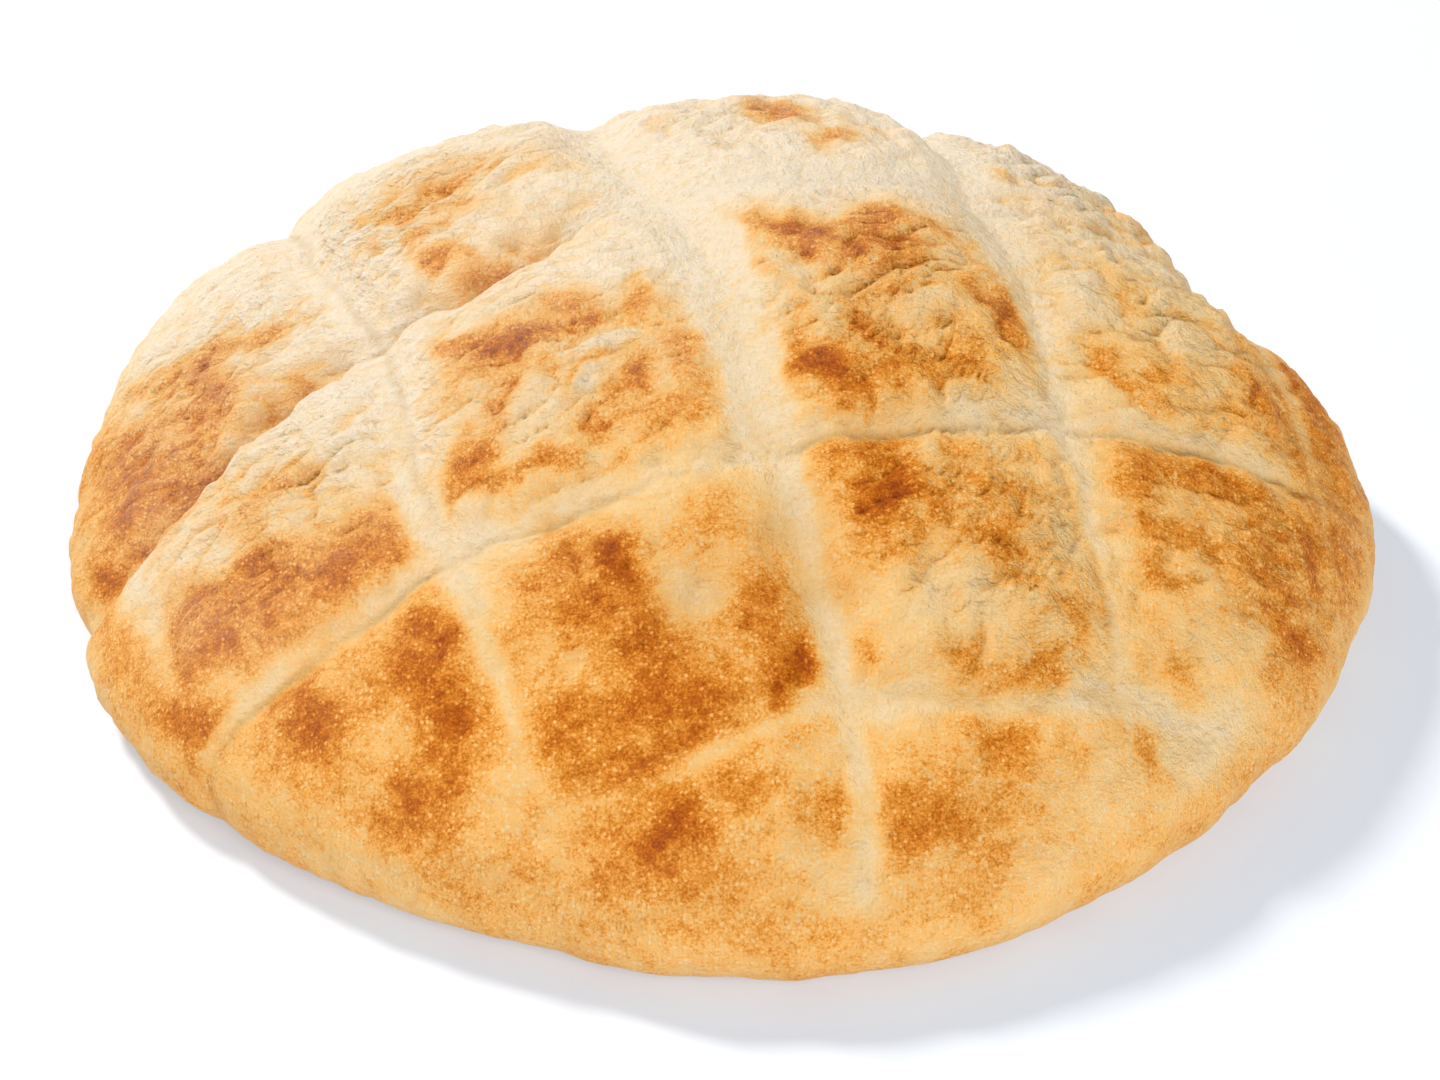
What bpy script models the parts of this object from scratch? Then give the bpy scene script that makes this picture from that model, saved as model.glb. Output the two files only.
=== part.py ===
"""Lepinja: a round, puffed flatbread, scored in a lattice and baked on a flat hearth.

The loaf is one closed solid. A domed crust swells into pillows between its score lines, comes
down steeply to the rim, where the loaf is widest, and rolls under to a flat base. The front of
the loaf faces -Y, and the origin is on the base, under the middle of the loaf's box.
"""

import bmesh
import bpy
import numpy as np

MM = 0.001

# Driving dimensions
RADIUS = 105 * MM  # mean radius at the rim
CROWN_HEIGHT = 63.5 * MM  # dome's top, before the pillows are raised and the scores sunk
RIM_HEIGHT = 9 * MM  # level at which the loaf is widest
BASE_SHARE = 0.933  # base's radius as a share of the rim's
CROWN_SHIFT = (7.5 * MM, 17 * MM)  # the dome's top leans to the back, and a little to the right

# Dome's section: height falls with (1 - r ** ROUNDNESS) ** STEEPNESS, r being the radius share
ROUNDNESS = 1.78
STEEPNESS = 0.62

# Hand-shaped outline: waves per turn, and each wave's cosine and sine share of the radius
OUTLINE_WAVES = ((2, 0.016, -0.015), (3, 0.001, 0.021), (4, -0.006, 0.002), (5, 0.014, -0.005))

# Score lines pressed into the dough, seen from above: half width, then points and the depth at each,
# in millimetres
CROSS_SCORES = (
    (5.5, ((-72, 60, 3.0), (-40, 68, 4.0), (0, 72, 4.0), (36, 74, 4.0), (64, 68, 3.0))),
    (
        5.0,
        (
            (-104, -37, 4.5), (-95, -32, 6.5), (-83, -24, 8.5), (-68, -14, 8.5), (-58, -6, 7.6),
            (-50, -2, 7.0), (-38, -1, 6.5), (-27, 6, 5.5), (-17, 16, 3.6), (0, 18, 2.0), (20, 19, 2.0),
            (40, 23, 2.6), (60, 23, 3.4), (98, 24, 2.5),
        ),
    ),
    (
        4.0,
        (
            (-80, -76, 1.0), (-70, -70, 2.4), (-56, -65, 3.6), (-42, -57, 3.0), (-32, -54, 2.6),
            (-20, -52, 3.0), (0, -46, 1.8), (14, -41, 3.0), (25, -40, 3.6), (45, -33, 2.6),
            (60, -29, 2.8), (78, -25, 3.2), (91, -21, 2.6), (101, -15, 1.5),
        ),
    ),
    (
        4.0,
        (
            (-22, -92, 0.6), (-9, -91, 1.6), (11, -84, 2.2), (31, -80, 2.4), (50, -75, 2.0),
            (70, -70, 1.6), (84, -66, 1.0),
        ),
    ),
)
LENGTHWAYS_SCORES = (
    (4.0, ((-92, -30, 2.0), (-86, -45, 2.0), (-79, -60, 1.0))),
    (
        6.0,
        (
            (-86, 84, 5.0), (-74, 50, 4.4), (-67, 26, 3.8), (-57, 2, 3.6), (-51, -13, 3.4),
            (-46, -31, 3.2), (-40, -51, 2.2), (-32, -67, 1.8), (-22, -92, 0.5),
        ),
    ),
    (
        6.0,
        (
            (-34, 92, 5.0), (-21, 55, 3.6), (-13, 23, 3.0), (1, -7, 2.6), (8, -37, 2.6),
            (14, -64, 3.2), (20, -84, 2.0), (22, -104, 1.4),
        ),
    ),
    (
        5.0,
        (
            (28, 96, 5.0), (38, 50, 3.8), (44, 19, 3.0), (51, -11, 2.6), (55, -38, 2.2),
            (59, -64, 2.0), (60, -80, 1.0),
        ),
    ),
    (4.5, ((84, 46, 2.5), (90, 14, 2.0), (96, -13, 1.5), (95, -38, 1.0))),
)
PUFF_HALF_WIDTH = 10 * MM  # the pillows also round off over this distance from a score
PUFF_SHARE = 0.35  # share of a score's depth that goes into the rounding
FULL_DEPTH = 10 * MM  # depth at which a score would cut away the whole pillow's rise
SCORE_LEFT_AT_RIM = 0.45  # share of a score's depth that is left where it runs out at the rim

# Where the crust swelled more or less than the dome: centre and rise, in millimetres
SWELLS = (
    (-83, 5, -3.0),
    (-60, 80, 1.3),
    (-68, -38, -0.7),
    (0, -95, 0.6),
    (40, -88, -0.9),
    (62, 58, -1.3),
    (90, 40, -4.4),
)
SWELL_RADIUS = 20 * MM

# Mesh
CRUST_CELLS = 60  # cells along each side of the grid that is folded into the crust
TUCK_RINGS = 4  # rings from the rim down to the base
SECTION_STEPS = 2000
SCORE_STEPS = 6  # straight steps between two points of a score
DISC_STEP = 0.01  # step within the unit disc over which the dome's slope is taken


def clear_scene():
    for obj in list(bpy.data.objects):
        bpy.data.objects.remove(obj, do_unlink=True)


def fold_square(u, v):
    """Points of the square from -1 to 1 moved into the unit disc, each square ring to a circle."""
    across = np.abs(u) >= np.abs(v)
    reach = np.where(across, u, v)
    turn = np.pi / 4 * np.where(across, v, u) / np.where(reach == 0, 1, reach)
    angle = np.where(across, turn, np.pi / 2 - turn)
    return reach * np.cos(angle), reach * np.sin(angle)


def outline(angle):
    """Rim's radius in each direction."""
    waves = sum(c * np.cos(n * angle) + s * np.sin(n * angle) for n, c, s in OUTLINE_WAVES)
    return RADIUS * (1 + waves)


def section(share):
    """Radius share and height at a share of the way from the crown to the rim, along the dome."""
    radius = 1 - np.linspace(1, 0, SECTION_STEPS) ** 3
    drop = (1 - radius**ROUNDNESS) ** STEEPNESS
    height = RIM_HEIGHT + (CROWN_HEIGHT - RIM_HEIGHT) * drop
    steps = np.hypot(np.diff(radius * RADIUS), np.diff(height))
    way = np.concatenate([[0], np.cumsum(steps)])
    way /= way[-1]
    return np.interp(share, way, radius), np.interp(share, way, height)


def dome(x, y):
    """Points of the smooth dome for points of the unit disc, and their radius shares."""
    angle = np.arctan2(y, x)
    share, height = section(np.hypot(x, y))
    lean = 1 - share**2
    points = np.stack(
        [
            outline(angle) * share * np.cos(angle) + CROWN_SHIFT[0] * lean,
            outline(angle) * share * np.sin(angle) + CROWN_SHIFT[1] * lean,
            height,
        ],
        axis=-1,
    )
    return points, share


def outward(x, y):
    """Unit normals of the smooth dome for points of the unit disc."""
    rightward = dome(x + DISC_STEP, y)[0] - dome(x - DISC_STEP, y)[0]
    backward = dome(x, y + DISC_STEP)[0] - dome(x, y - DISC_STEP)[0]
    normal = np.cross(rightward, backward)
    return normal / np.linalg.norm(normal, axis=-1, keepdims=True)


def smooth_path(points):
    """Rows of a Catmull-Rom curve through the given rows, from millimetres to metres."""
    route = np.array(points, float) * MM
    route = np.vstack([2 * route[0] - route[1], route, 2 * route[-1] - route[-2]])
    t = np.linspace(0, 1, SCORE_STEPS, endpoint=False)[:, None]
    legs = []
    for a, b, c, d in zip(route, route[1:], route[2:], route[3:]):
        bend = (2 * a - 5 * b + 4 * c - d) * t**2 + (3 * b - a - 3 * c + d) * t**3
        legs.append(b + ((c - a) * t + bend) / 2)
    return np.vstack(legs + [route[-2:-1]])


def bell(gap, width):
    return np.exp(-((gap / width) ** 2))


def nearest_on(path, plan):
    """Distance from each plan point to a score's path, and the score's depth at the nearest place."""
    nearest = np.full(plan.shape[:-1], np.inf)
    depth = np.zeros(plan.shape[:-1])
    for start, end in zip(path, path[1:]):
        leg = end[:2] - start[:2]
        along = np.clip((plan - start[:2]) @ leg / (leg @ leg), 0, 1)
        gap = np.linalg.norm(plan - start[:2] - along[..., None] * leg, axis=-1)
        depth = np.where(gap < nearest, start[2] + along * (end[2] - start[2]), depth)
        nearest = np.minimum(nearest, gap)
    return nearest, depth


def relief(points, share):
    """How far the crust stands out from the dome: sunk along the scores, and swollen or slack."""
    plan = points[..., :2]
    pillow = np.ones(share.shape)
    for half_width, route in CROSS_SCORES + LENGTHWAYS_SCORES:
        gap, depth = nearest_on(smooth_path(route), plan)
        dip = PUFF_SHARE * bell(gap, PUFF_HALF_WIDTH) + (1 - PUFF_SHARE) * bell(gap, half_width * MM)
        pillow *= 1 - depth / FULL_DEPTH * dip
    rise = FULL_DEPTH * (pillow - 1) * (1 - (1 - SCORE_LEFT_AT_RIM) * share**6)
    for x, y, lift in SWELLS:
        gap = np.linalg.norm(plan - np.array([x, y]) * MM, axis=-1)
        rise += lift * MM * bell(gap, SWELL_RADIUS)
    return rise


def crust_points():
    """Grid of points over the whole upper crust, from rim to rim."""
    steps = np.linspace(-1, 1, CRUST_CELLS + 1)
    v, u = np.meshgrid(steps, steps, indexing="ij")
    x, y = fold_square(u, v)
    points, share = dome(x, y)
    return points + outward(x, y) * relief(points, share)[..., None]


def tuck_under(bm):
    """Rolls the rim under, ring by ring, down to the level of the base."""
    rim = [edge for edge in bm.edges if edge.is_boundary]
    turns = np.linspace(0, np.pi / 2, TUCK_RINGS + 1)
    insets = 1 - (1 - BASE_SHARE) * (1 - np.cos(turns))
    levels = 1 - np.sin(turns)
    levels[-1] = 0
    for ring in range(TUCK_RINGS):
        made = bmesh.ops.extrude_edge_only(bm, edges=rim)["geom"]
        rim = [item for item in made if isinstance(item, bmesh.types.BMEdge)]
        for vert in (item for item in made if isinstance(item, bmesh.types.BMVert)):
            vert.co.xy *= insets[ring + 1] / insets[ring]
            vert.co.z *= levels[ring + 1] / levels[ring]
    return rim


def centre_on_base(bm):
    """Moves the loaf so that the origin is under the middle of its box."""
    corners = np.array([vert.co for vert in bm.verts])
    middle = (corners.min(axis=0) + corners.max(axis=0)) / 2
    bmesh.ops.translate(bm, verts=bm.verts, vec=(-middle[0], -middle[1], 0))


def crust_material():
    material = bpy.data.materials.new("baked_crust")
    material.use_nodes = True
    shader = material.node_tree.nodes["Principled BSDF"]
    shader.inputs["Base Color"].default_value = (0.78, 0.47, 0.19, 1)
    shader.inputs["Roughness"].default_value = 0.62
    shader.inputs["Metallic"].default_value = 0
    material.diffuse_color = (0.78, 0.47, 0.19, 1)
    return material


def build_loaf():
    bm = bmesh.new()
    bmesh.ops.create_grid(bm, x_segments=CRUST_CELLS, y_segments=CRUST_CELLS, size=1)
    bm.verts.ensure_lookup_table()
    for vert, point in zip(bm.verts, crust_points().reshape(-1, 3)):
        vert.co = point
    base_edges = tuck_under(bm)
    bmesh.ops.holes_fill(bm, edges=base_edges)
    bmesh.ops.recalc_face_normals(bm, faces=bm.faces)
    centre_on_base(bm)
    mesh = bpy.data.meshes.new("loaf")
    bm.to_mesh(mesh)
    bm.free()
    mesh.materials.append(crust_material())
    mesh.shade_smooth()
    loaf = bpy.data.objects.new("loaf", mesh)
    bpy.context.scene.collection.objects.link(loaf)


clear_scene()
build_loaf()
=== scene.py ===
"""Looks of the lepinja: a round, puffed flatbread, scored in a lattice and scorched on its pillows.

One crust mesh replaces the CAD loaf. Its form is the CAD's dome, scores and swells at a finer
pitch, with creases, torn folds, wrinkles, dents and a lumpy rim added. Plan places are in
millimetres from the middle of the rim's circle; the finished crust is then centred on the CAD
loaf's box.
"""

import math

import bpy
import numpy as np
from mathutils import Matrix, Vector, noise


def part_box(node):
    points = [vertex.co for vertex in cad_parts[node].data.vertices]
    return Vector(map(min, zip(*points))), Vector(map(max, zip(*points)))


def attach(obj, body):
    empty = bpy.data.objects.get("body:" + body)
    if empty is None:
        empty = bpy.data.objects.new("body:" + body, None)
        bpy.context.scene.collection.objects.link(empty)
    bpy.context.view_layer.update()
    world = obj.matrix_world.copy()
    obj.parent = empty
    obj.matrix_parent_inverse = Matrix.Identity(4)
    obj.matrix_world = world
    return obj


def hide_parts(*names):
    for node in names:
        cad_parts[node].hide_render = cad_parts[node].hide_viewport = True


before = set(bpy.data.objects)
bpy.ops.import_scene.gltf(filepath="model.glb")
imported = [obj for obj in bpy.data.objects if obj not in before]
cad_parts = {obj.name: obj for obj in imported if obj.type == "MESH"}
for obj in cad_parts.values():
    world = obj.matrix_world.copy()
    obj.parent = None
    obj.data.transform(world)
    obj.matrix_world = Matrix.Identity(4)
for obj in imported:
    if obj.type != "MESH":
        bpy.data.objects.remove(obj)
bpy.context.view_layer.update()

MM = 0.001

# The dome and its section, as in the CAD
RADIUS = 105 * MM
CROWN_HEIGHT = 63.5 * MM
RIM_HEIGHT = 9 * MM
BASE_SHARE = 0.933
CROWN_SHIFT = (7.5 * MM, 17 * MM)
ROUNDNESS = 1.78
STEEPNESS = 0.62
OUTLINE_WAVES = ((2, 0.016, -0.015), (3, 0.001, 0.021), (4, -0.006, 0.002), (5, 0.014, -0.005))

# Score lines. Each has the widths of the wall on its left and on its right, the crease's share of
# the depth, how far the pale dough lies to the left of the line, how bare that dough is, then
# points: place, depth, and half the width of the pale dough.
CROSS_SCORES = (
    (6, 5, 0.1, 0, 0.9, ((-72, 60, 3, 2), (-40, 68, 4, 3), (0, 72, 4, 3), (36, 74, 4, 3), (64, 68, 3, 2))),
    (
        7, 2.8, 0.12, 0, 0.9,
        (
            (-104, -37, 4.5, -3), (-95, -32, 6.5, -3), (-83, -23.5, 8.5, -3), (-68, -13.5, 8.5, -3),
            (-58, -6, 7.6, -1), (-50, -2, 7, 0), (-38, -1, 6.5, 0), (-27, 6, 5.5, 0), (-17, 16, 3.6, 2.5),
            (0, 17.5, 2, 5), (20, 19, 2, 5), (40, 23, 2.6, 4), (60, 23, 3.4, 0), (98, 24, 2.5, -2),
        ),
    ),
    (
        4.5, 2.4, 0.25, 1.5, 0.6,
        (
            (-80, -76, 1, -1), (-70, -69.5, 2.4, 1), (-56, -64.5, 3.6, 1.6), (-48, -61.5, 3.6, 1.6),
            (-42, -57, 3, 1.8), (-38, -55, 2, 2.4), (-32, -54, 2.6, 2), (-20, -51.5, 3, 1.6),
            (-9, -48, 2.6, 1.4), (0, -46, 1.8, 1.4), (7, -43.5, 1.6, 2), (14, -41, 3, 1.4),
            (25, -39.5, 3.6, 1.2), (34, -36.5, 3.2, 1.6), (45, -32.5, 2.6, 1.6), (52, -30.5, 2, 2.2),
            (60, -28.5, 2.8, 2), (68, -27.5, 3.2, 1.6), (78, -24.5, 3.2, 1.4), (91, -21, 2.6, 0.5),
            (101, -15, 1.5, -2),
        ),
    ),
    (
        4, 3.4, 0.12, 0, 0.75,
        (
            (-22, -92, 0.6, -2), (-9, -90.5, 1.6, -0.5), (2, -87, 2, 0.5), (11, -83.5, 2.2, 0.8),
            (20, -81, 2.4, 2), (31, -79.5, 2.4, 1.2), (42, -78, 2.2, 0.8), (50, -75, 2, 0.8),
            (59, -71, 2, 1.6), (70, -69.5, 1.6, 0.5), (84, -66, 1, -1),
        ),
    ),
)
LENGTHWAYS_SCORES = (
    (4, 4, 0, 0, 0.6, ((-92, -30, 2, 1), (-86, -45, 2, 1.5), (-79, -60, 1, 0))),
    (
        4.5, 5, 0.18, -0.8, 0.8,
        (
            (-86, 84, 5, 2), (-74, 50, 4.4, 2.4), (-67, 26, 3.8, 2.4), (-62, 13, 3.6, 2.2),
            (-57, 2, 3.6, 2.2), (-51, -13, 3.4, 2.4), (-48, -22, 3.4, 2.2), (-46, -31, 3.2, 2),
            (-43, -43, 2.6, 1.8), (-40, -51, 2.2, 1.8), (-35, -60, 2, 1.2), (-32, -67, 1.8, 1),
            (-29, -75, 1.6, 0.5), (-26, -82, 1.2, 0), (-22, -92, 0.5, -2),
        ),
    ),
    (
        6, 6, 0.13, 0, 0.85,
        (
            (-34, 92, 5, 3), (-21, 55, 3.6, 3), (-18, 38, 3.2, 3.6), (-13, 23, 3, 5), (-6, 9, 2.8, 5),
            (1, -7, 2.6, 4.6), (4.5, -24, 2.4, 4.8), (8, -37, 2.6, 4), (11, -50, 3, 2.8),
            (14.5, -64, 3.2, 1.9), (17.5, -75, 2.8, 1.6), (19.5, -84, 2.2, 1.3), (21.6, -95, 2.2, 1.1),
            (22, -104, 1.8, 1.0),
        ),
    ),
    (
        5, 4.5, 0.15, 0, 0.85,
        (
            (28, 96, 5, 3), (38, 50, 3.8, 3.6), (41.5, 32, 3.2, 4), (44.5, 19, 3, 4), (48, 3, 2.8, 3.6),
            (51, -11, 2.6, 1.8), (53.5, -25, 2.4, 1.4), (55, -38, 2.2, 1), (58, -52, 2.2, 0),
            (59, -64, 2, -0.5), (59.5, -72, 1.6, 0), (60, -80, 1, -1),
        ),
    ),
    (4.5, 4.5, 0, 0, 0.5, ((84, 46, 2.5, 1), (90, 14, 2, 2), (96, -13, 1.5, 0), (95, -38, 1, -1))),
)
SCORES = CROSS_SCORES + LENGTHWAYS_SCORES
PUFF_WIDTH = 10 * MM  # each pillow also rounds off over this width
PUFF_SHARE = 0.35  # share of a score's depth that goes into the rounding
CREASE_HALF_WIDTH = 0.8 * MM
FULL_DEPTH = 10 * MM  # depth at which a score would cut away the whole pillow's rise
SCORE_LEFT_AT_RIM = 0.45
SCORE_WANDER = (9 * MM, 1.2 * MM)  # over what length the lines waver, and how far
RAGGED_EDGE = ((1.3 * MM, 5 * MM), (0.8 * MM, 2.2 * MM))  # the pale dough's edge: depth and size of its bays
PALE_EDGE = (-0.7 * MM, 1.9 * MM)  # from fully pale to not at all, measured from the half width
NO_LINE = 10 * MM  # distance kept where no sharp line is near

# Where the crust swelled more or less than the dome: centre and rise, in millimetres
SWELLS = (
    (-83, 5, -3.0),
    (-60, 80, 1.3),
    (-68, -38, -0.7),
    (0, -95, 0.6),
    (40, -88, -0.9),
    (62, 58, -1.3),
    (90, 40, -4.4),
)
SWELL_RADIUS = 20 * MM

# Torn folds, standing up on the left of each line: step and reach in millimetres, then points
FOLDS = (
    (
        0.9, 3.0,
        (
            (-14, 16), (-20, 13), (-27, 6), (-38, -1), (-50, -3), (-58, -7), (-68, -14),
            (-83, -24), (-95, -33),
        ),
    ),
    (0.8, 2.5, ((-22, -42), (-26, -43), (-32, -44), (-37, -47), (-40, -50))),
    (1.1, 3.0, ((-8, -21), (-12, -24), (-17, -26), (-20, -30), (-21, -35))),
    (0.4, 2.0, ((-6, -13), (-11, -12), (-17, -11))),
    (0.4, 2.0, ((-33, -21), (-37, -24), (-41, -27))),
    (0.5, 2.0, ((-22, -16), (-16, -17), (-11, -14), (-7, -12))),
    (0.8, 3.0, ((33, -6), (31, -9), (28, -12), (25, -13), (18, -14), (11, -12))),
    (0.5, 2.0, ((27, -17), (22, -16), (17, -16), (12, -15))),
    (0.9, 2.5, ((44, -24), (37, -25), (30, -24), (27, -22), (25, -20), (22, -21), (19, -24), (14, -26))),
    (0.5, 2.0, ((46, -10), (38, -11), (34, -8))),
    (0.9, 2.5, ((-60, 34), (-55, 29), (-50, 26), (-46, 30), (-42, 29), (-38, 28))),
    (0.5, 2.0, ((-35, 26), (-32, 28), (-28, 29), (-24, 30))),
    (0.5, 2.0, ((-48, 8), (-46, 9), (-43, 10), (-40, 10))),
    (0.4, 2.0, ((-38, 24), (-42, 24), (-46, 23))),
    (0.5, 2.0, ((-58, 20), (-52, 17), (-47, 16), (-42, 18))),
    (0.5, 2.5, ((-88, 14), (-82, 12), (-77, 8), (-70, 6))),
    (0.5, 2.5, ((-50, -42), (-57, -40), (-64, -42), (-72, -40))),
    (0.5, 2.5, ((-80, -46), (-73, -47), (-66, -45), (-60, -47))),
    (0.5, 2.0, ((5, 30), (6, 35), (9, 40), (10, 45))),
    (0.7, 3.0, ((90, 6), (84, 7), (76, 7), (68, 8), (61, 12), (56, 16), (53, 24))),
    (0.6, 2.5, ((80, -8), (70, -10), (63, -9), (60, -8))),
    (0.4, 2.5, ((-28, -57), (-22, -58), (-16, -57), (-11, -59))),
    (0.4, 2.0, ((-45, -62), (-43, -58), (-41, -54))),
    (0.4, 2.5, ((46, -43), (42, -45), (36, -43), (30, -44))),
    (0.5, 1.6, ((50, -30), (53, -40), (56, -50), (58, -60), (59, -70), (60, -77))),
    (0.45, 1.6, ((72, -69), (60, -72), (50, -74), (38, -78), (31, -79), (22, -81))),
    (0.6, 2.0, ((14, -82), (4, -85), (-6, -88), (-14, -90), (-24, -92))),
    (0.5, 2.0, ((3, -26), (7, -40), (10, -52), (13, -63), (15, -70))),
    (0.5, 2.0, ((-50, -20), (-47, -30), (-44, -40), (-41, -47))),
    (0.5, 2.5, ((48, -50), (43, -52), (38, -51), (33, -54))),
    (0.4, 2.5, ((52, -60), (46, -62), (40, -60), (33, -62), (27, -61))),
)
FOLD_EDGE = 1.0 * MM
FOLD_WANDER = (6 * MM, 1.5 * MM)
FOLD_ON_SCORES = 0.4  # share of a fold's step that is left on pale dough

# Small dents: place, radius and depth, in millimetres
DIMPLES = (
    (-3, -67, 4, 1.5), (-1, -66, 1.6, 0.8), (-19, -74, 2, 0.9), (-20, -76, 1.2, 0.6), (33, -63, 3, 0.7),
    (-18, -29, 2.5, 0.9), (27, -18, 2.5, 0.8),
)
LINE_REACH = 2.5 * MM  # how far from a sharp line the crust is shaded by it

# Where the crust wrinkled as it dried: place, radius in millimetres, and share of the wrinkle's height
WRINKLED = (
    (-84, 8, 22, 0.9), (-50, 28, 26, 1.0), (-64, -36, 22, 0.9), (-22, -26, 26, 0.9), (5, 38, 24, 0.6),
    (28, -14, 26, 1.0), (72, 2, 26, 0.9), (-15, -66, 18, 0.4), (62, 45, 22, 0.9), (36, -48, 18, 0.7),
    (42, -62, 15, 0.6), (80, -38, 16, 0.5), (-86, -12, 16, 0.4),
)
WRINKLE_TURN = math.radians(20)
WRINKLE_LENGTH = 10 * MM
WRINKLE_WIDTH = 4 * MM
WRINKLE_HEIGHT = 1.4 * MM

# Uneven crust everywhere: height and size of its lumps
BROAD_LUMPS = (1.0 * MM, 14 * MM)
MIDDLE_LUMPS = (0.9 * MM, 5.5 * MM)
SMALL_LUMPS = (0.6 * MM, 2.8 * MM)
CALM_AT_RIM = 0.6  # how much flatter the lumps are at the rim

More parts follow.
